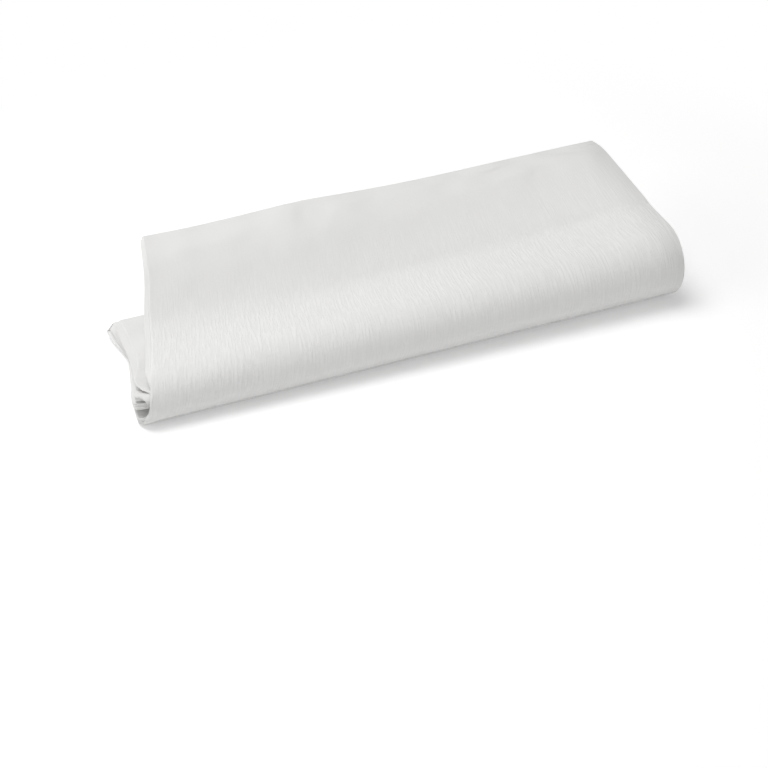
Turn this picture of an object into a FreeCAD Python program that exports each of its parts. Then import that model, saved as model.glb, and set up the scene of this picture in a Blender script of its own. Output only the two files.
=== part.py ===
import FreeCAD, Part
import Sketcher
import math
import os

# A folded tablecloth, lying as it comes out of its pack.
#
# The cloth is pleated across its width into a strip, and the strip is folded over
# and over along its length. What is left is one thick leaf of pressed plies that
# runs through four panels: an upper inner panel with a free end, a tight fold, the
# lower inner panel, a pressed crease at the back, the bottom panel that the cloth
# lies on, the big soft front fold, and the flap that springs up at the back.
#
# +X runs along the front fold, +Y from the front fold to the back, and +Z up.
# The cloth rests on Z = 0, and the origin is under the middle of its box.

doc = FreeCAD.newDocument("folded_tablecloth")

# Lengths are in millimetres and angles in degrees.
SHARED_SIZES = [
    ("leaf_thickness", 3.3, "sixteen plies pressed together"),
    ("level", 0.0, "slope of the panels that lie flat"),
    ("pressed_flat", 0.2, "how far the cloth's own weight flattens its underside"),
    ("slit_radius", 0.8, "inside radius of the tight fold"),
    ("crease_radius", 3.6, "outside radius of the pressed crease"),
    ("left_foot_x", -153.2, "where the left end meets the ground, half way back"),
    ("left_end_lean", 29.0, "each ply at the left end lies right of the one below"),
    ("left_end_turn", 1.3, "the left end is longer at the back"),
    ("trim_size", 400.0, "side of the block that trims the left end"),
]

# The front fold is fuller at the right, so each size has a left and a right value,
# and changes evenly from one to the other over this many spans.
SPANS = 10
ROUTE_SIZES = [
    ("route_x", -168.0, 154.0, "plane of the section, clear of the end at the left"),
    ("front_reach", 53.4, 56.9, "origin to the foremost line of the front fold"),
    ("upper_flat", 48.7, 45.5, "pressed stretch of the upper inner panel"),
    ("upper_bend_radius", 28.4, 28.4, "bend where that panel leaves the pile"),
    ("inner_slope", -14.0, -22.0, "slope of both inner panels behind the tight fold"),
    ("inner_rise", 20.7, 26.2, "sloping stretch of both inner panels"),
    ("lower_bend_radius", 30.0, 30.0, "bend where the lower inner panel leaves the pile"),
    ("lower_flat", 54.7, 53.5, "pressed stretch of the lower inner panel"),
    ("bottom_panel", 80.0, 80.0, "flat stretch that the cloth rests on"),
    ("nose_low_radius", 10.5, 17.0, "front fold, below its foremost line"),
    ("nose_high_radius", 13.5, 24.0, "front fold, above its foremost line"),
    ("flap_start_slope", 5.0, 4.0, "slope of the flap as it leaves the front fold"),
    ("flap_start", 20.7, 21.1, "first straight stretch of the flap"),
    ("hollow_radius", 60.0, 60.0, "hollow where the flap begins to climb"),
    ("flap_climb_slope", 30.0, 10.0, "steepest slope of the flap"),
    ("flap_climb", 18.7, 47.1, "straight stretch at that slope"),
    ("crown_radius", 60.0, 50.0, "crown near the free end"),
    ("flap_end_slope", 8.0, -4.0, "slope at the free end"),
    ("flap_end", 5.0, 4.0, "last straight stretch of the flap"),
]

# The leaf is followed along the face that is outside at the front fold, from the
# free end of the upper inner panel to the free end of the flap. A straight stretch
# has a length and a slope, as seen from front to back, and the heading it is walked
# in. A bend has a radius and the side that it turns to.
BACK_TO_FRONT, FRONT_TO_BACK = -1, 1
LEFT_TURN, RIGHT_TURN = 1, -1
ROUTE = [
    ("straight", "upper_flat", "level", BACK_TO_FRONT),
    ("bend", "upper_bend_radius", RIGHT_TURN),
    ("straight", "inner_rise", "inner_slope", BACK_TO_FRONT),
    ("bend", "slit_radius", LEFT_TURN),
    ("straight", "inner_rise", "inner_slope", FRONT_TO_BACK),
    ("bend", "lower_bend_radius", LEFT_TURN),
    ("straight", "lower_flat", "level", FRONT_TO_BACK),
    ("bend", "crease_radius", RIGHT_TURN),
    ("straight", "bottom_panel", "level", BACK_TO_FRONT),
    ("bend", "nose_low_radius", RIGHT_TURN),
    ("bend", "nose_high_radius", RIGHT_TURN),
    ("straight", "flap_start", "flap_start_slope", FRONT_TO_BACK),
    ("bend", "hollow_radius", LEFT_TURN),
    ("straight", "flap_climb", "flap_climb_slope", FRONT_TO_BACK),
    ("bend", "crown_radius", RIGHT_TURN),
    ("straight", "flap_end", "flap_end_slope", FRONT_TO_BACK),
]
BOTTOM, NOSE_LOW, NOSE_HIGH = 8, 9, 10


def make_sheet():
    """Fill the spreadsheet with every driving size and its alias."""
    sizes = doc.addObject("Spreadsheet::Sheet", "Sizes")
    rows = list(SHARED_SIZES)
    for alias, left, right, note in ROUTE_SIZES:
        rows.append(("left_" + alias, left, note + ", left"))
        rows.append(("right_" + alias, right, note + ", right"))
    for row, (alias, value, note) in enumerate(rows, start=1):
        sizes.set("A%d" % row, note)
        sizes.set("B%d" % row, str(value))
        sizes.setAlias("B%d" % row, alias)
    doc.recompute()


def between(name, share):
    """Give the expression for a size, a share of the way from the left to the right."""
    if name in [alias for alias, value, note in SHARED_SIZES]:
        return "Sizes." + name
    ends = {"name": name, "share": share}
    return "Sizes.left_%(name)s + (Sizes.right_%(name)s - Sizes.left_%(name)s) * %(share)g" % ends


def walk_route(size_of, depth):
    """Walk the route, depth inside the leaf, and give a line or arc for each stretch."""
    headings = []
    for stretch in ROUTE:
        if stretch[0] == "straight":
            slope = math.radians(size_of(stretch[2]))
            headings.append(slope if stretch[3] == FRONT_TO_BACK else slope + math.pi)
        else:
            headings.append(None)
    # The front fold is upright at its foremost line, between its two bends.
    upright = math.pi / 2
    first = headings[0]
    inward = FreeCAD.Vector(math.sin(first), -math.cos(first), 0)
    here = inward * depth
    shapes = []
    for place, stretch in enumerate(ROUTE):
        size = size_of(stretch[1])
        if stretch[0] == "straight":
            along = FreeCAD.Vector(math.cos(headings[place]), math.sin(headings[place]), 0)
            there = here + along * size
            ends = (here, there) if stretch[3] == FRONT_TO_BACK else (there, here)
            shapes.append(Part.LineSegment(*ends))
        else:
            turn = stretch[2]
            radius = size + turn * depth
            enter = upright if place == NOSE_HIGH else headings[place - 1]
            leave = upright if place == NOSE_LOW else headings[place + 1]
            sweep = (leave - enter) * turn % (2 * math.pi)
            middle = here + FreeCAD.Vector(-math.sin(enter), math.cos(enter), 0) * radius * turn
            start = enter - turn * math.pi / 2
            stop = start + turn * sweep
            there = middle + FreeCAD.Vector(math.cos(stop), math.sin(stop), 0) * radius
            circle = Part.Circle(middle, FreeCAD.Vector(0, 0, 1), radius)
            span = (start, stop) if turn == LEFT_TURN else (stop, start)
            shapes.append(Part.ArcOfCircle(circle, *span))
        here = there
    return shapes


def entry_point(place):
    """Give the sketch's number for the end at which a stretch is entered."""
    forward = ROUTE[place][-1] in (FRONT_TO_BACK, LEFT_TURN)
    return 1 if forward else 2


def draw_route(number):
    """Draw one section of the leaf as a fully sized sketch in an upright plane."""
    share = number / SPANS
    sketch = doc.addObject("Sketcher::SketchObject", "Section%d" % number)

    def size_of(name):
        return sketch.evalExpression(between(name, share))

    across = FreeCAD.Vector(0, 1, 0)
    up = FreeCAD.Vector(0, 0, 1)
    along = FreeCAD.Vector(1, 0, 0)
    upright_plane = FreeCAD.Rotation(across, up, along, "XYZ")
    sketch.Placement = FreeCAD.Placement(FreeCAD.Vector(0, 0, 0), upright_plane)
    sketch.setExpression("Placement.Base.x", between("route_x", share))

    thickness = size_of("leaf_thickness")
    outside = walk_route(size_of, 0)
    inside = walk_route(size_of, thickness)
    reach = size_of("front_reach")
    sunk = size_of("pressed_flat")
    to_origin = FreeCAD.Vector(-reach - outside[NOSE_LOW].StartPoint.x,
                               -outside[BOTTOM].StartPoint.y - sunk, 0)
    for shape in outside + inside:
        shape.translate(to_origin)
        sketch.addGeometry(shape)
    count = len(ROUTE)

    def size_it(constraint, name, expression):
        added = sketch.addConstraint(constraint)
        sketch.renameConstraint(added, name)
        sketch.setExpression("Constraints." + name, expression)

    for face in (0, count):
        for place in range(count - 1):
            joint = (face + place, 3 - entry_point(place),
                     face + place + 1, entry_point(place + 1))
            sketch.addConstraint(Sketcher.Constraint("Tangent", *joint))
    for place, stretch in enumerate(ROUTE):
        shape = sketch.Geometry[place]
        size = between(stretch[1], share)
        if stretch[0] == "bend":
            radius = Sketcher.Constraint("Radius", place, shape.Radius)
            size_it(radius, "radius_%d" % place, size)
            inner = count + place
            sketch.addConstraint(Sketcher.Constraint("Coincident", place, 3, inner, 3))
            if place != NOSE_HIGH:
                radius = Sketcher.Constraint("Radius", inner, sketch.Geometry[inner].Radius)
                sign = "+" if stretch[2] == LEFT_TURN else "-"
                size_it(radius, "inner_radius_%d" % place, size + sign + "Sizes.leaf_thickness")
            continue
        length = Sketcher.Constraint("Distance", place, shape.length())
        size_it(length, "length_%d" % place, size)
        if stretch[2] == "level":
            sketch.addConstraint(Sketcher.Constraint("Horizontal", place))
        else:
            slope = Sketcher.Constraint("Angle", place, math.radians(size_of(stretch[2])))
            size_it(slope, "slope_%d" % place, between(stretch[2], share))
    for place in (0, count - 1):
        # The plies turn back on themselves at a free end, which is half round.
        point = entry_point(place) if place == 0 else 3 - entry_point(place)
        start = sketch.getPoint(place, point)
        stop = sketch.getPoint(count + place, point)
        line = sketch.Geometry[place]
        outward = line.EndPoint - line.StartPoint if point == 2 else line.StartPoint - line.EndPoint
        outward.normalize()
        crown = (start + stop) / 2 + outward * thickness / 2
        clockwise = (crown - start).cross(stop - crown).z < 0
        bend = Part.Arc(stop, crown, start) if clockwise else Part.Arc(start, crown, stop)
        cap = sketch.addGeometry(bend)
        near, far = (2, 1) if clockwise else (1, 2)
        sketch.addConstraint(Sketcher.Constraint("Tangent", cap, near, place, point))
        sketch.addConstraint(Sketcher.Constraint("Tangent", cap, far, count + place, point))
        sketch.addConstraint(Sketcher.Constraint("Parallel", place, count + place))
    # The bottom panel is drawn just under the ground, which flattens it, and the
    # front fold's foremost line is level with both of its centres and a set
    # distance from the origin.
    lowest = Sketcher.Constraint("DistanceY", BOTTOM, 1, -1, 1, sunk)
    size_it(lowest, "pressed_flat", "Sizes.pressed_flat")
    sketch.addConstraint(Sketcher.Constraint("Horizontal", NOSE_LOW, 3, NOSE_HIGH, 3))
    foremost = Sketcher.Constraint("DistanceX", NOSE_LOW, 1, -1, 1, reach)
    size_it(foremost, "front_reach", between("front_reach", share))
    return sketch


def make_block(name, corner, turn="0", lean="0"):
    """Make a block, turned and leaning about the middle of its right face."""
    block = doc.addObject("Part::Box", name)
    for side in ("Length", "Width", "Height"):
        block.setExpression(side, "Sizes.trim_size")
    block.setExpression("Placement", (
        "create(<<placement>>; create(<<vector>>; %s; %s; %s);" % corner
        + "create(<<rotation>>; %s; %s; 0);" % (turn, lean)
        + "create(<<vector>>; Sizes.trim_size; Sizes.trim_size / 2; Sizes.trim_size / 2))"
    ))
    return block


make_sheet()

leaf = doc.addObject("Part::Loft", "Leaf")
leaf.Sections = [draw_route(number) for number in range(SPANS + 1)]
leaf.Solid = True
leaf.Ruled = True

# The ground flattens the leaf's underside, and the left end is cut off by a face
# that leans with the plies.
half = "-Sizes.trim_size / 2"
ground = make_block("Ground", (half, half, "-Sizes.trim_size"))
left_block = make_block(
    "LeftBlock",
    ("Sizes.left_foot_x - Sizes.trim_size", half, half),
    "Sizes.left_end_turn",
    "Sizes.left_end_lean",
)
trims = doc.addObject("Part::MultiFuse", "Trims")
trims.Shapes = [ground, left_block]

tablecloth = doc.addObject("Part::Cut", "Tablecloth")
tablecloth.Label = "tablecloth"
tablecloth.Base = leaf
tablecloth.Tool = trims
doc.recompute()

for thing in doc.Objects:
    if "Invalid" in thing.State or "Error" in thing.State:
        raise RuntimeError(thing.Name + " did not compute")
if tablecloth.Shape.isNull() or not tablecloth.Shape.isValid():
    raise RuntimeError("the tablecloth is not a valid solid")
if len(tablecloth.Shape.Solids) != 1:
    raise RuntimeError("the tablecloth is not one solid")

os.makedirs("parts", exist_ok=True)
tablecloth.Shape.exportStep("parts/%s.step" % tablecloth.Label)
bounds = tablecloth.Shape.optimalBoundingBox(False, False)
print(tablecloth.Label, bounds, round(tablecloth.Shape.Volume), "mm3")
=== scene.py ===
import math
from collections import namedtuple

import bpy
import numpy as np
from mathutils import Matrix, Vector


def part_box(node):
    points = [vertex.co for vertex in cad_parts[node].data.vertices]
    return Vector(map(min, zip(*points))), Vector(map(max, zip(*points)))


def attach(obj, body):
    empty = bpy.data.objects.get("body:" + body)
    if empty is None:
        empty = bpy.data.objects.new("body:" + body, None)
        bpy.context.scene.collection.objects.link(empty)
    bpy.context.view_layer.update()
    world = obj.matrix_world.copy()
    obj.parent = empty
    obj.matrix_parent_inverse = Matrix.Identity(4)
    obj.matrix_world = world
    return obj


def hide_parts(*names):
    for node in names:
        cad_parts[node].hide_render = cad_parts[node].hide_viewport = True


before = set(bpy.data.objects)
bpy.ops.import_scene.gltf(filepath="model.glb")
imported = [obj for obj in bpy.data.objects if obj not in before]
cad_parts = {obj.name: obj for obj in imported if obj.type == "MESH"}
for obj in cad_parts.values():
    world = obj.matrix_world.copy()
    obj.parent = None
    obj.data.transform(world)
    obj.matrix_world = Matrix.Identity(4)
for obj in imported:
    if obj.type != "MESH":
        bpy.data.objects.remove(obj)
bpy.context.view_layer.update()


# ---- The form of the leaf ----------------------------------------------------------
# Sixteen plies of the cloth lie together as one thick leaf, and the leaf is folded into
# four panels. This form is the face of the leaf that is outside at the front fold. The
# cloth is folded round it, ply by ply, and the form itself isn't kept.

MM = 0.001
PLIES = 16
LEAF_THICKNESS = 3.3 * MM
# The form starts left of the pack, and runs to this share of the way from there to the
# solid's right end, in so many columns of points.
FORM_LEFT, FORM_RIGHT = -168 * MM, Vector(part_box("tablecloth")[1]).x
FORM_SHARE = 1.02
FORM_COLUMNS = 41
# How far the front fold reaches from the pack's middle, in millimetres, at the left end
# of the pack and at the right.
FRONT_REACH = (53.4, 56.9)

# The leaf is walked in stretches, from the upper inner panel's free end to the flap's
# free end. A straight stretch has lengths and slopes, and runs to the front or to the
# back. A bend has radii, and turns left or right. These sizes are in millimetres and
# degrees, at the left end of the pack, halfway where a third is given, and at the right
# end. Each stretch takes so many rows of points.
Straight = namedtuple("Straight", "name lengths slopes way rows")
Bend = namedtuple("Bend", "name radii turn rows")
TO_FRONT, TO_BACK = 180, 0
LEFT, RIGHT = 1, -1
LEVEL, BESIDE_THE_SLIT, FRONT_UPRIGHT = (0, 0), (-22, -22), 90
STRETCHES = [
    Straight("upper inner panel", (59.0, 45.5), LEVEL, TO_FRONT, 12),
    Bend("its bend", (28.4, 28.4), RIGHT, 4),
    Straight("its rise to the front", (0.5, 21.2), BESIDE_THE_SLIT, TO_FRONT, 2),
    Straight("its front edge", (4, 5), BESIDE_THE_SLIT, TO_FRONT, 4),
    Bend("tight fold", (0.8, 0.8), LEFT, 8),
    Straight("lower inner panel's front edge", (4, 5), BESIDE_THE_SLIT, TO_BACK, 4),
    Straight("its fall", (0.5, 21.2), BESIDE_THE_SLIT, TO_BACK, 2),
    Bend("its bend", (30, 30), LEFT, 4),
    Straight("lower inner panel", (63.4, 53.5), LEVEL, TO_BACK, 7),
    Bend("pressed crease", (3.6, 3.6), RIGHT, 9),
    Straight("bottom panel", (78.2, 80), LEVEL, TO_FRONT, 9),
    Bend("front fold, below", (8.5, 17), RIGHT, 10),
    Bend("front fold, above", (15.5, 24), RIGHT, 12),
    Straight("flap's start", (18.8, 20, 21.1), (4, -1, 4), TO_BACK, 4),
    Bend("hollow", (55, 45, 60), LEFT, 6),
    Straight("flap's climb", (19.2, 23.3, 46.4), (28.5, 19.7, 9.4), TO_BACK, 5),
    Bend("crown", (60, 80, 50), RIGHT, 6),
    Straight("flap's end", (5, 4.5, 4), (5, 1, -6), TO_BACK, 2),
]
STRETCH_NAMES = [stretch.name for stretch in STRETCHES]
LOWEST = STRETCH_NAMES.index("bottom panel")
FOREMOST = STRETCH_NAMES.index("front fold, above")

# The left end of the pack isn't cut straight. These give it at so many millimetres along
# the leaf: where the outermost strip comes to, how much further left each strip below
# it comes, how far the last strip, on top of the inner panel, has slid to the right, and
# how far it lifts off the others there.
LEFT_END = [
    (0, -150.0), (20, -148.6), (40, -147.2), (56, -147.8), (66, -148.8), (71, -150.4),
    (73.5, -149.6), (76.2, -144.7), (79, -149.6), (82, -151.2), (88, -151.4), (98, -150.3),
    (111, -148.6), (125, -147.2), (138, -149.2), (150, -150.4), (156, -150.5), (162, -151.9),
    (167, -152.5), (189, -148.9), (203, -146.2), (217, -148.0), (235, -150.8), (247, -151.4),
    (253, -149.4), (259, -146.4), (265, -144.2), (271, -142.6), (281, -140.2), (301, -136.1),
    (328, -131.9), (344, -128.3), (358, -126.2), (376, -124.3),
]
STRIP_STEP = [
    (0, 0.2), (80, 0.2), (142, 0.2), (158, 0.8), (168, 0.8), (190, 0.3), (240, 0.2), (249, 0),
    (257, -0.3), (266, -0.4), (273, 0), (280, 0.7), (288, 1.1), (303, 1.15), (330, 0.9),
    (377, 0.5),
]
LAST_STRIP_SLIDES = [
    (0, 3.5), (14, 4.0), (36, 3.8), (48, 2.8), (57, 1.2), (62, 0.4), (66.5, 1.5), (70, 4.2),
    (73.4, 6.0), (74.7, 5.0), (76.2, 2.2), (78, 0), (377, 0),
]
LAST_STRIP_LIFTS = [
    (0, 0), (30, 0), (52, 2.6), (61, 4.4), (66.5, 3.2), (70, 2.0), (73.4, 0.7), (75, 0.1),
    (76, 0), (377, 0),
]
# How far in from the left end the last strip is still lifted.
LIFT_REACH = 60 * MM
# Where the right end, which is all folds, comes to.
RIGHT_END = [
    (0, 153.2), (40, 152.6), (75, 153.4), (110, 153.8), (160, 153.2), (200, 154.0),
    (255, 154.0), (285, 154.2), (310, 155.0), (345, 155.4), (376, 155.2),
]

# How far the flap's free edge lifts or sags, in millimetres, at so much of the way from
# its left end to its right, and the share of the leaf from which this is felt.
FREE_EDGE = [
    (0, 1.2), (0.09, 1.1), (0.2, 0.7), (0.3, 1.5), (0.41, 2.8), (0.5, 1.4), (0.6, 0),
    (0.72, -0.7), (0.86, -0.7), (1, -0.3),
]
FREE_EDGE_FROM = 0.80

# How far the flap sags behind the front fold, at so much of the way from left to right,
# and how much of this there is at so many millimetres along the leaf. At the right it
# lies this much nearer the fold.
SAG = [(0, 2.0), (0.25, 4.0), (0.5, 5.5), (0.8, 5.0), (0.95, 1.8), (1.02, 0)]
SAG_ALONG = [(0, 0), (266, 0), (306, 0.94), (320, 0.94), (362, 0), (376, 0), (400, 0)]
SAG_NEARER = 16


def smooth_between(points, at):
    """Give the smooth curve through points, at each place in at. It never overshoots."""
    places, values = np.array(points, float).T
    steep = np.diff(values) / np.diff(places)
    before, following = np.append(steep[0], steep), np.append(steep, steep[-1])
    same_way = before * following > 0
    both = np.where(same_way, before + following, 1)
    slopes = np.where(same_way, 2 * before * following / both, 0)
    after = np.clip(np.searchsorted(places, at, side="right"), 1, len(places) - 1)
    start, width = places[after - 1], np.diff(places)[after - 1]
    step = (at - start) / width
    low, high = values[after - 1], values[after]
    low_slope, high_slope = slopes[after - 1] * width, slopes[after] * width
    return (
        low * (1 + 2 * step) * (1 - step) ** 2
        + high * (3 - 2 * step) * step**2
        + low_slope * step * (1 - step) ** 2
        - high_slope * (1 - step) * step**2
    )


def walk_leaf(share):
    """Walk the leaf at a share of the way from left to right: places, inward, lengths."""

    def size(sizes):
        at_left, at_right = sizes[0], sizes[-1]
        between = at_left + (at_right - at_left) * share
        if len(sizes) == 2:
            return between
        return between + (sizes[1] - (at_left + at_right) / 2) * 4 * share * (1 - share)

    def sideways(heading):
        return np.array([-math.sin(heading), math.cos(heading)])

    headings = []
    for stretch in STRETCHES:
        straight = isinstance(stretch, Straight)
        headings.append(size(stretch.slopes) + stretch.way if straight else None)
    here, walked = np.zeros(2), 0.0
    rows, lengths = [], []
    for number, stretch in enumerate(STRETCHES):
        if number == FOREMOST:
            foremost = here[0]
        if number == LOWEST:
            bottom = here[1]
        steps = range(stretch.rows + 1)
        if isinstance(stretch, Straight):
            heading, length = math.radians(headings[number]), size(stretch.lengths)
            ahead = np.array([math.cos(heading), math.sin(heading)])
            passed = [(here + ahead * length * step / stretch.rows, heading) for step in steps]
        else:
            enter = FRONT_UPRIGHT if number == FOREMOST else headings[number - 1]
            leave = FRONT_UPRIGHT if number == FOREMOST - 1 else headings[number + 1]
            turn, radius = stretch.turn, size(stretch.radii)
            start, sweep = math.radians(enter), math.radians((leave - enter) * turn % 360)
            length = radius * sweep
            middle = here + sideways(start) * radius * turn
            turned = [start + turn * sweep * step / stretch.rows for step in steps]
            passed = [(middle - sideways(heading) * radius * turn, heading) for heading in turned]
        rows += passed[:-1]
        lengths += [walked + length * step / stretch.rows for step in steps[:-1]]
        here, walked = passed[-1][0], walked + length
    rows.append(passed[-1])
    lengths.append(walked)
    places = np.array([place for place, heading in rows])
    places += (-size(FRONT_REACH) - foremost, -bottom)
    inward = np.array([-sideways(heading) for place, heading in rows])
    return places * MM, inward, np.array(lengths)


def make_grid(name, points):
    """Make a mesh from columns and rows of points. Give it and its faces' corners."""
    columns, rows = points.shape[:2]
    corner = np.arange(columns * rows).reshape(columns, rows)
    faces = np.stack([corner[:-1, :-1], corner[1:, :-1], corner[1:, 1:], corner[:-1, 1:]], -1)
    faces = faces.reshape(-1, 4)
    mesh = bpy.data.meshes.new(name)
    mesh.from_pydata(points.reshape(-1, 3).tolist(), [], faces.tolist())
    return mesh, faces


def make_form():
    """Make the form. Its map runs from left to right and along the leaf."""
    lengths = walk_leaf(0)[2]
    along = lengths / lengths[-1]
    across = np.linspace(0, FORM_SHARE, FORM_COLUMNS)
    points = np.zeros((len(across), len(along), 3))
    inward = np.zeros_like(points)
    felt = np.clip((along - FREE_EDGE_FROM) / (1 - FREE_EDGE_FROM), 0, 1) ** 2
    for column, share in enumerate(across):
        places, inside, _ = walk_leaf(share)
        points[column, :, 0] = FORM_LEFT + (FORM_RIGHT - FORM_LEFT) * share
        points[column, :, 1:] = places
        inward[column, :, 1:] = inside
        points[column, :, 2] += smooth_between(FREE_EDGE, share) * MM * felt
        sags = smooth_between(SAG_ALONG, lengths + SAG_NEARER * share)
        points[column, :, 2] -= smooth_between(SAG, share) * MM * sags
    mesh, _ = make_grid("leaf_form", points)

    place = np.stack(np.broadcast_arrays(across[:, None], along, 0.0), -1)
    left_end, strip_step, slides, lifts, right_end = (
        np.broadcast_to(smooth_between(each, lengths) * MM, points.shape[:2])
        for each in (LEFT_END, STRIP_STEP, LAST_STRIP_SLIDES, LAST_STRIP_LIFTS, RIGHT_END)
    )
    near_the_end = np.clip(1 - (points[:, :, 0] - left_end[0, 0]) / LIFT_REACH, 0, 1) ** 2
    for name, kind, field, values in (
        ("form", "FLOAT_VECTOR", "vector", place),
        ("inward", "FLOAT_VECTOR", "vector", inward),
        ("ends", "FLOAT_VECTOR", "vector", np.stack([left_end, strip_step, slides], -1)),
        ("right_end", "FLOAT", "value", right_end),
        ("lift", "FLOAT", "value", near_the_end * lifts),
    ):
        layer = mesh.attributes.new(name, kind, "POINT")
        layer.data.foreach_set(field, np.ascontiguousarray(values, np.float32).ravel())
    form = bpy.data.objects.new("leaf_form", mesh)
    bpy.context.scene.collection.objects.link(form)
    return form, along


leaf_form, row_shares = make_form()


# ---- The cloth ---------------------------------------------------------------------
# One sheet of soft white paper cloth, 1.2 by 1.6 metres. It is pleated in four across
# its width, the strip is laid in four along its length, and that leaf is folded on the
# form. The cut edges lie at the left end, a little short of the folds beside them.

CLOTH = (1.2, 1.6)
CLOTH_THICKNESS = 0.19 * MM
PLY_PITCH = LEAF_THICKNESS / PLIES
PLEATS, PASSES = 4, 4
# How far each cut edge lies from the folds, and how much further the first one does at
# the far end of the cloth.
FIRST_SETBACK, LAST_SETBACK = 0.4 * MM, 0.3 * MM
SETBACK_GROWS = 0.4 * MM
# The shares of a pleat and of a pass that go round each turn.
PLEAT_TURN, PASS_TURN = 0.0006, 0.0016
# A pleat's columns lie closer at the left. Each turn has some columns or rows of its own.
PLEAT_COLUMNS, CLOSER_AT_THE_LEFT = 22, 1.4
PLEAT_TURN_COLUMNS, PASS_TURN_ROWS = 3, 5
# The pleats are numbered from 0, so only the first is below this.
FIRST_PLY_ONLY = 0.01
# The ends are the same all across the form, so they are read in its middle.
HALFWAY = 0.5
# Edges that turn by more than this, in degrees, are shaded sharp.
SHARP = 75

pleat_width = (CLOTH[0] + FIRST_SETBACK + LAST_SETBACK) / (PLEATS - 2 * PLEAT_TURN)
pass_length = CLOTH[1] / (PASSES - 2 * PASS_TURN)


def zigzag_lines(folds, turn, shares, turn_lines):
    """Give the lines across a zigzag: each run's shares, there or back, and its turns."""
    lines = []
    for fold in range(folds):
        run = shares if fold % 2 == 0 else 1 - shares[::-1]
        lines += list(fold + turn + (1 - 2 * turn) * run)
        if fold < folds - 1:
            lines += list(fold + 1 - turn + 2 * turn * np.arange(1, turn_lines) / turn_lines)
    return np.array(lines)


def make_flat_cloth():
    """Make the cloth as it lies flat, with its map in metres."""
    shares = np.linspace(0, 1, PLEAT_COLUMNS + 1) ** CLOSER_AT_THE_LEFT
    columns = zigzag_lines(PLEATS, PLEAT_TURN, shares, PLEAT_TURN_COLUMNS)
    columns = columns * pleat_width - PLEAT_TURN * pleat_width - FIRST_SETBACK
    columns[0], columns[-1] = 0, CLOTH[0]
    rows = zigzag_lines(PASSES, PASS_TURN, row_shares, PASS_TURN_ROWS)
    rows = (rows - PASS_TURN) * pass_length
    flat = np.zeros((len(columns), len(rows), 3))
    flat[:, :, 0], flat[:, :, 1] = columns[:, None], rows
    mesh, faces = make_grid("cloth", flat)
    map_places = flat.reshape(-1, 3)[faces.ravel(), :2]
    uv = mesh.uv_layers.new(name="cloth").uv
    uv.foreach_set("vector", map_places.astype(np.float32).ravel())
    cloth = bpy.data.objects.new("cloth", mesh)
    bpy.context.scene.collection.objects.link(cloth)
    return cloth


class Nodes:
    """A tree of nodes. A node's inputs are plain values or other nodes' outputs."""

    def __init__(self, tree):
        self.tree = tree

    def node(self, kind, inputs=(), **settings):
        node = self.tree.nodes.new(kind)
        for setting, value in settings.items():
            setattr(node, setting, value)
        for socket, value in dict(inputs).items():
            if isinstance(value, bpy.types.NodeSocket):
                self.tree.links.new(value, node.inputs[socket])
            else:
                node.inputs[socket].default_value = value
        return node

    def math(self, operation, *values):
        return self.node("ShaderNodeMath", enumerate(values), operation=operation).outputs[0]

    def plus(self, value, *others):
        for other in others:
            value = self.math("ADD", value, other)
        return value

    def times(self, value, *others):
        for other in others:
            value = self.math("MULTIPLY", value, other)
        return value

    def minus(self, value, other):
        return self.math("SUBTRACT", value, other)

    def over(self, value, other):
        return self.math("DIVIDE", value, other)

    def limited(self, value, low, high):
        return self.math("MINIMUM", self.math("MAXIMUM", value, low), high)

    def step(self, value, low, high):
        """Give a smooth step, from 0 at low to 1 at high."""
        inputs = {"Value": value, "From Min": low, "From Max": high}
        return self.node("ShaderNodeMapRange", inputs, interpolation_type="SMOOTHSTEP").outputs[0]


class FoldingTree(Nodes):
    """A tree of nodes that folds the flat cloth on the form, with its sockets' values."""

    def __init__(self, name):
        super().__init__(bpy.data.node_groups.new(name, "GeometryNodeTree"))
        self.values = {}

    def add_socket(self, name, kind, value):
        socket = self.tree.interface.new_socket(name, in_out="INPUT", socket_type=kind)
        self.values[socket.identifier] = value

    def vector(self, operation, inputs):
        return self.node("ShaderNodeVectorMath", inputs, operation=operation).outputs[0]

    def parts(self, vector):
        return self.node("ShaderNodeSeparateXYZ", {0: vector}).outputs

    def attribute(self, name, kind="FLOAT_VECTOR"):
        node = self.node("GeometryNodeInputNamedAttribute", {"Name": name}, data_type=kind)
        return node.outputs["Attribute"]

    def zigzag(self, along, folds, turn):
        """Give the share along a zigzag's run, its nearest turn, and the turn's angle."""
        run = self.math("FLOOR", along)
        straight = self.minus(1.0, self.times(turn, 2.0))
        share = self.over(self.minus(self.minus(along, run), turn), straight)
        share = self.plus(run, self.limited(share, 0.0, 1.0))
        nearest = self.limited(self.math("ROUND", along), 1.0, self.minus(folds, 1.0))
        past = self.over(self.minus(along, nearest), turn)
        angle = self.times(self.plus(self.limited(past, -1.0, 1.0), 1.0), math.pi / 2)
        return self.math("PINGPONG", share, 1.0), nearest, angle

    def run_number(self, turn, angle):
        """Give the run's number, from 0. It changes smoothly round a turn."""
        return self.minus(self.minus(turn, 0.5), self.times(self.math("COSINE", angle), 0.5))


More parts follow.
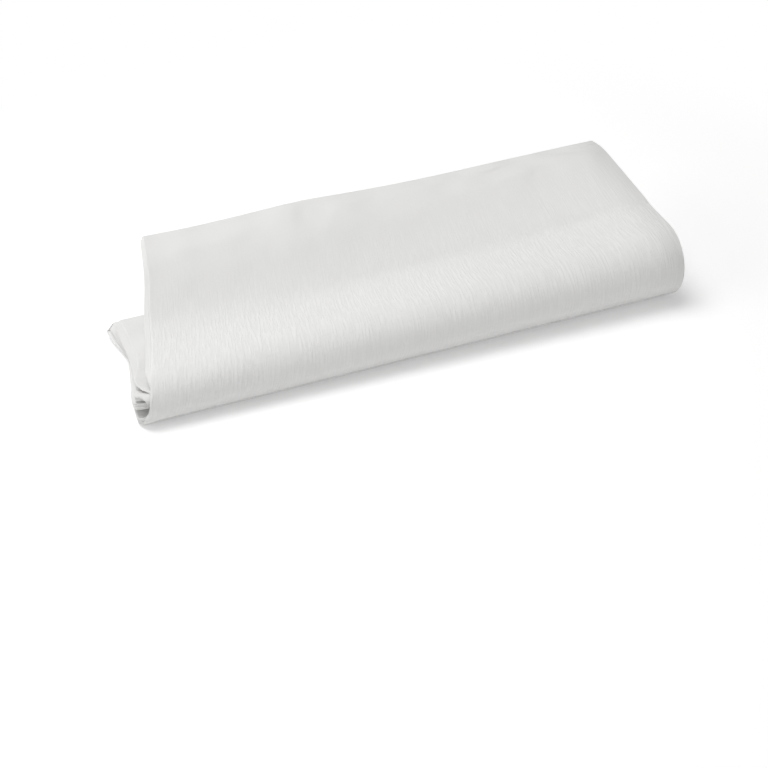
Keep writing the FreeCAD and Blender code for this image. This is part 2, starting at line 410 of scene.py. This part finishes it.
def make_folding_tree(finish):
    """Build the tree: each point of the flat cloth finds its run, its ply and its place."""
    fold = FoldingTree("fold_the_cloth")
    geometry = {"name": "Cloth", "socket_type": "NodeSocketGeometry"}
    fold.tree.interface.new_socket(in_out="INPUT", **geometry)
    fold.tree.interface.new_socket(in_out="OUTPUT", **geometry)
    for name, kind, value in (
        ("Form", "NodeSocketObject", leaf_form),
        ("Pleats", "NodeSocketFloat", float(PLEATS)),
        ("Passes", "NodeSocketFloat", float(PASSES)),
        ("Pleat width", "NodeSocketFloat", pleat_width),
        ("Pass length", "NodeSocketFloat", pass_length),
        ("Pleat turn", "NodeSocketFloat", PLEAT_TURN),
        ("Pass turn", "NodeSocketFloat", PASS_TURN),
        ("Ply pitch", "NodeSocketFloat", PLY_PITCH),
        ("Setback", "NodeSocketFloat", FIRST_SETBACK),
        ("Setback growth", "NodeSocketFloat", SETBACK_GROWS / CLOTH[1]),
        ("Left of the form", "NodeSocketFloat", FORM_LEFT),
        ("Right of the form", "NodeSocketFloat", FORM_RIGHT),
        ("Finish", "NodeSocketMaterial", finish),
    ):
        fold.add_socket(name, kind, value)
    given = fold.node("NodeGroupInput").outputs
    pleats, pitch = given["Pleats"], given["Ply pitch"]
    position = fold.node("GeometryNodeInputPosition").outputs[0]
    flat = fold.parts(position)

    # Across the cloth: the pleat, and the ply that it is.
    margin = fold.times(given["Pleat turn"], given["Pleat width"])
    across = fold.over(fold.plus(flat["X"], given["Setback"], margin), given["Pleat width"])
    across, turn, angle = fold.zigzag(across, pleats, given["Pleat turn"])
    ply = fold.run_number(turn, angle)
    at_right = fold.minus(fold.times(fold.math("MODULO", turn, 2.0), 2.0), 1.0)
    pleat_reach = fold.times(fold.math("SINE", angle), 0.5, pitch, at_right)

    # Along the cloth: the pass, and the depth of the ply inside the leaf. The order of
    # the plies turns over with each pass, so each turn is nested in the next.
    along = fold.plus(fold.over(flat["Y"], given["Pass length"]), given["Pass turn"])
    along, turn, angle = fold.zigzag(along, given["Passes"], given["Pass turn"])
    strip = fold.run_number(turn, angle)
    in_last_strip = fold.limited(fold.minus(strip, fold.minus(given["Passes"], 2.0)), 0.0, 1.0)
    inner = fold.plus(ply, 0.5)
    outer = fold.minus(fold.times(inner, 2.0), pleats)
    radius = fold.minus(fold.times(outer, fold.math("MODULO", turn, 2.0)), inner)
    depth = fold.times(radius, fold.math("COSINE", angle))
    depth = fold.times(fold.plus(fold.times(turn, pleats), depth), pitch)
    pass_reach = fold.times(fold.math("ABSOLUTE", radius), fold.math("SINE", angle), pitch)

    form = fold.node("GeometryNodeObjectInfo", {"Object": given["Form"]}).outputs["Geometry"]
    form_map = fold.attribute("form")

    def on_form(value, share, kind="FLOAT_VECTOR"):
        place = fold.node("ShaderNodeCombineXYZ", {"X": share, "Y": along}).outputs[0]
        inputs = {"Mesh": form, "Value": value, "Source UV Map": form_map, "Sample UV": place}
        return fold.node("GeometryNodeSampleUVSurface", inputs, data_type=kind).outputs["Value"]

    # From the left end to the right: the ends there, and the place between them. The
    # first cut edge is set back more and more along the cloth.
    ends = fold.parts(on_form(fold.attribute("ends"), HALFWAY))
    left_end = fold.minus(ends["X"], fold.times(strip, ends["Y"]))
    left_end = fold.plus(left_end, fold.times(in_last_strip, ends["Z"]))
    right_end = on_form(fold.attribute("right_end", "FLOAT"), HALFWAY, "FLOAT")
    in_first_ply = fold.math("LESS_THAN", ply, FIRST_PLY_ONLY)
    growth = fold.times(given["Setback growth"], flat["Y"], fold.minus(1.0, across), in_first_ply)
    x = fold.times(fold.minus(right_end, left_end), across)
    x = fold.plus(left_end, x, growth, pleat_reach)
    form_width = fold.minus(given["Right of the form"], given["Left of the form"])
    share = fold.over(fold.minus(x, given["Left of the form"]), form_width)
    share = fold.limited(share, 0.0, FORM_SHARE)

    # The place on the form, and from there into the leaf and round the turns.
    place, inward = on_form(position, share), on_form(fold.attribute("inward"), share)
    lift = on_form(fold.attribute("lift", "FLOAT"), share, "FLOAT")
    depth = fold.plus(depth, fold.times(lift, in_last_strip))
    into_the_leaf = fold.vector("SCALE", {0: inward, "Scale": depth})
    ahead = fold.vector("CROSS_PRODUCT", {0: (1.0, 0.0, 0.0), 1: inward})
    to_the_end = fold.minus(fold.times(along, 2.0), 1.0)
    past_the_end = fold.vector("SCALE", {0: ahead, "Scale": fold.times(pass_reach, to_the_end)})
    place = fold.vector("ADD", {0: place, 1: into_the_leaf})
    place = fold.parts(fold.vector("ADD", {0: place, 1: past_the_end}))
    folded = fold.node("ShaderNodeCombineXYZ", {"X": x, "Y": place["Y"], "Z": place["Z"]})
    inputs = {"Geometry": given["Cloth"], "Position": folded.outputs[0]}
    moved = fold.node("GeometryNodeSetPosition", inputs)
    whole = fold.node("GeometryNodeRealizeInstances", {"Geometry": moved.outputs[0]})
    inputs = {"Geometry": whole.outputs[0], "Material": given["Finish"]}
    dressed = fold.node("GeometryNodeSetMaterial", inputs)
    fold.node("NodeGroupOutput", {0: dressed.outputs[0]})
    return fold


# The cloth's colour where it is plain, and a lighter colour that paints a highlight on the pressed
# threads and along the top of the front fold, where the light falls most. It is matt, with little
# gloss.
PLAIN_WHITE, HIGHLIGHT_WHITE = (0.770, 0.768, 0.758, 1), (0.850, 0.848, 0.838, 1)
# How much painted highlight lies on the pressed threads and round the front fold.
PRESS_HIGHLIGHT, FOLD_HIGHLIGHT = 0.45, 0.28
ROUGHNESS, GLOSS = 0.9, 0.2
# The threads that are pressed into the cloth: their width and length, how fine their
# detail is, the levels between which they stand up, and their share of the relief.
PRESSED_THREADS = [
    ((1.4 * MM, 11 * MM), 2.0, (0.42, 0.64), 0.75),
    ((0.7 * MM, 7 * MM), 1.0, (0.42, 0.62), 0.25),
    ((14 * MM, 0.8 * MM), 1.0, (0.45, 0.65), 0.20),
]
PRESS_DEPTH = 0.12 * MM
# Soft dents, given in the same way but without a share.
DENTS = ((26 * MM, 18 * MM), 0.0, (0.25, 0.75))
DENT_DEPTH = 0.35 * MM
# How strong each finer step of the detail is, next to the one before.
FINE_DETAIL = 0.55
# The threads stand up round the front fold, where the painted highlight also lies, and the dents
# near the flap's free edge.
# These are the places along the cloth where each begins and where it ends, in metres,
# how much more of them there is in that part, and how much there is everywhere.
FOLD_BEGINS, FOLD_ENDS = (0.258, 0.294), (0.385, 0.308)
FREE_EDGE_BEGINS = (0.350, 0.395)
THREADS_ROUND_THE_FOLD, THREADS_EVERYWHERE = 0.78, 0.13
DENTS_BY_THE_EDGE, DENTS_EVERYWHERE = 2.4, 0.6


class FinishTree(Nodes):
    """A material's nodes."""

    def __init__(self, name):
        self.material = bpy.data.materials.new(name)
        self.material.use_nodes = True
        super().__init__(self.material.node_tree)
        self.shader = self.tree.nodes["Principled BSDF"]

    def marks(self, place, size, detail, levels):
        """Give uneven marks of a width and a length, as levels from 0 to 1."""
        width, length = size
        scale = (1 / width, 1 / length, 1)
        stretched = self.node("ShaderNodeMapping", {"Vector": place, "Scale": scale})
        inputs = {"Vector": stretched.outputs[0], "Scale": 1.0, "Detail": detail,
                  "Roughness": FINE_DETAIL}
        noise = self.node("ShaderNodeTexNoise", inputs, noise_dimensions="2D")
        return self.step(noise.outputs["Fac"], *levels)


def make_cloth_finish():
    """White cloth with the pressed threads of a linen weave, which run along the cloth, and a
    painted highlight on the threads and round the front fold.
    """
    finish = FinishTree("white_linen_press")
    place = finish.node("ShaderNodeUVMap", uv_map="cloth").outputs[0]
    along = finish.node("ShaderNodeSeparateXYZ", {0: place}).outputs["Y"]
    begun, ended = finish.step(along, *FOLD_BEGINS), finish.step(along, *FOLD_ENDS)
    round_the_fold = finish.times(begun, ended)
    by_the_edge = finish.step(along, *FREE_EDGE_BEGINS)

    threads = [finish.times(finish.marks(place, *thread), share)
               for *thread, share in PRESSED_THREADS]
    stand_up = finish.plus(finish.times(round_the_fold, THREADS_ROUND_THE_FOLD), THREADS_EVERYWHERE)
    relief = finish.times(finish.plus(*threads), stand_up)
    inputs = {"Height": relief, "Distance": PRESS_DEPTH, "Strength": 1.0}
    pressed = finish.node("ShaderNodeBump", inputs)
    dents = finish.plus(finish.times(by_the_edge, DENTS_BY_THE_EDGE), DENTS_EVERYWHERE)
    dents = finish.times(dents, finish.marks(place, *DENTS))
    inputs = {"Height": dents, "Distance": DENT_DEPTH, "Strength": 1.0,
              "Normal": pressed.outputs[0]}
    dented = finish.node("ShaderNodeBump", inputs)
    finish.tree.links.new(dented.outputs[0], finish.shader.inputs["Normal"])

    # Painted highlight: the colour is lighter on the threads and round the front fold, standing in
    # for the light on the fold's top.
    painted_highlight = finish.times(relief, PRESS_HIGHLIGHT)
    painted_highlight = finish.plus(painted_highlight, finish.times(round_the_fold, FOLD_HIGHLIGHT))
    colour = finish.node("ShaderNodeValToRGB", {"Fac": painted_highlight})
    plain, white = colour.color_ramp.elements
    plain.color, white.color = PLAIN_WHITE, HIGHLIGHT_WHITE
    finish.tree.links.new(colour.outputs["Color"], finish.shader.inputs["Base Color"])
    finish.shader.inputs["Roughness"].default_value = ROUGHNESS
    finish.shader.inputs["Specular IOR Level"].default_value = GLOSS
    return finish.material


cloth = make_flat_cloth()
fold = make_folding_tree(make_cloth_finish())
folding = cloth.modifiers.new("folding", "NODES")
folding.node_group = fold.tree
for identifier, value in fold.values.items():
    folding[identifier] = value
wall = cloth.modifiers.new("thickness", "SOLIDIFY")
wall.thickness, wall.offset = CLOTH_THICKNESS, 0
evaluated = cloth.evaluated_get(bpy.context.evaluated_depsgraph_get())
folded = bpy.data.meshes.new_from_object(evaluated)
cloth.modifiers.clear()
cloth.data = folded
cloth.data.shade_smooth()
cloth.data.set_sharp_from_angle(angle=math.radians(SHARP))
bpy.data.objects.remove(leaf_form)

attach(cloth, "root")
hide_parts("tablecloth")


# ---- The floor ---------------------------------------------------------------------
# A plain white sheet that the pack lies on. Seen directly it is white, apart from the
# pack's own soft shadow, which fades out at a distance from the pack.

FLOOR_SIDE = 8.0
FLOOR_COLOUR = (0.9, 0.9, 0.9, 1)
# The shadow is whole up to the first distance from the pack's middle, and gone at the
# second. Seen directly, the floor is this much lighter.
SHADOW_KEPT, SHADOW_GONE = 0.24, 0.42
FLOOR_LIFT = 0.22


def seen_directly(nodes):
    """Give 1 to rays from the camera, in mirrors and through glass, and 0 to others."""
    path = nodes.node("ShaderNodeLightPath").outputs
    seen = nodes.math("MAXIMUM", path["Is Camera Ray"], path["Is Glossy Ray"])
    return nodes.math("MAXIMUM", seen, path["Is Transmission Ray"])


def make_floor_finish():
    """White in the open, and its own colour for the light that it gives back."""
    finish = FinishTree("white_floor")
    finish.shader.inputs["Base Color"].default_value = FLOOR_COLOUR
    finish.shader.inputs["Roughness"].default_value = 1.0
    finish.shader.inputs["Specular IOR Level"].default_value = 0.0
    seen = seen_directly(finish)
    place = finish.node("ShaderNodeTexCoord").outputs["Object"]
    away = finish.node("ShaderNodeVectorMath", {0: place}, operation="LENGTH").outputs["Value"]
    far = finish.step(away, SHADOW_KEPT, SHADOW_GONE)
    lift = finish.node("ShaderNodeEmission", {"Strength": finish.times(seen, FLOOR_LIFT)})
    near = finish.node("ShaderNodeAddShader", {0: finish.shader.outputs[0], 1: lift.outputs[0]})
    white = finish.node("ShaderNodeEmission", {"Strength": 1.0})
    inputs = {0: finish.times(far, seen), 1: near.outputs[0], 2: white.outputs[0]}
    whole = finish.node("ShaderNodeMixShader", inputs)
    output = finish.tree.nodes["Material Output"]
    finish.tree.links.new(whole.outputs[0], output.inputs["Surface"])
    return finish.material


side = FLOOR_SIDE / 2
corners = [(-side, -side, 0), (side, -side, 0), (side, side, 0), (-side, side, 0)]
floor_mesh = bpy.data.meshes.new("floor")
floor_mesh.from_pydata(corners, [], [(0, 1, 2, 3)])
floor_mesh.materials.append(make_floor_finish())
floor = bpy.data.objects.new("floor", floor_mesh)
bpy.context.scene.collection.objects.link(floor)


# ---- The light ---------------------------------------------------------------------
# A white room lights the pack from all round, and so do three wide soft lamps: one above,
# a little behind and to the left, a weaker one low in front, and another at the left.
# Seen directly, the room is plain white.

ROOM_LIGHT = 0.24
# Each lamp's side and place are in metres, and its power is in watts.
LAMP_SIDE = 0.9
LAMPS = [
    ("lamp_above", (-0.27, 0.35, 1.25), 12.2),
    ("lamp_in_front", (-0.05, -1.30, 0.30), 4.6),
    ("lamp_at_left", (-1.20, 0.10, 0.50), 4.2),
]

room = bpy.data.worlds.new("white_room")
room.use_nodes = True
bpy.context.scene.world = room
air = Nodes(room.node_tree)
background = air.tree.nodes["Background"]
background.inputs["Color"].default_value = (1, 1, 1, 1)
strength = air.node("ShaderNodeMapRange", {"Value": seen_directly(air), "To Min": ROOM_LIGHT})
air.tree.links.new(strength.outputs[0], background.inputs["Strength"])

for name, place, power in LAMPS:
    lamp = bpy.data.objects.new(name, bpy.data.lights.new(name, "AREA"))
    lamp.data.size, lamp.data.energy = LAMP_SIDE, power
    lamp.location = place
    lamp.rotation_euler = Vector(place).to_track_quat("Z", "Y").to_euler()
    bpy.context.scene.collection.objects.link(lamp)


# ---- The camera --------------------------------------------------------------------
# It looks down on the pack from in front of its left end, and stands close to it. Its
# angles are in degrees, and its lens and sensor are in millimetres.

CAMERA_PLACE = (-0.1615, -0.4400, 0.3295)
AZIMUTH, ELEVATION, ROLL = 19.6, 39.4, -1.34
LENS, SENSOR = 46.875, 36

camera = bpy.data.objects.new("camera", bpy.data.cameras.new("camera"))
camera.data.lens, camera.data.sensor_width = LENS, SENSOR
turned = Matrix.Rotation(math.radians(-AZIMUTH), 4, "Z")
tipped = Matrix.Rotation(math.radians(90 - ELEVATION), 4, "X")
rolled = Matrix.Rotation(math.radians(ROLL), 4, "Z")
camera.matrix_world = Matrix.Translation(CAMERA_PLACE) @ turned @ tipped @ rolled
bpy.context.scene.collection.objects.link(camera)
bpy.context.scene.camera = camera
bpy.context.scene.view_settings.view_transform = "Standard"
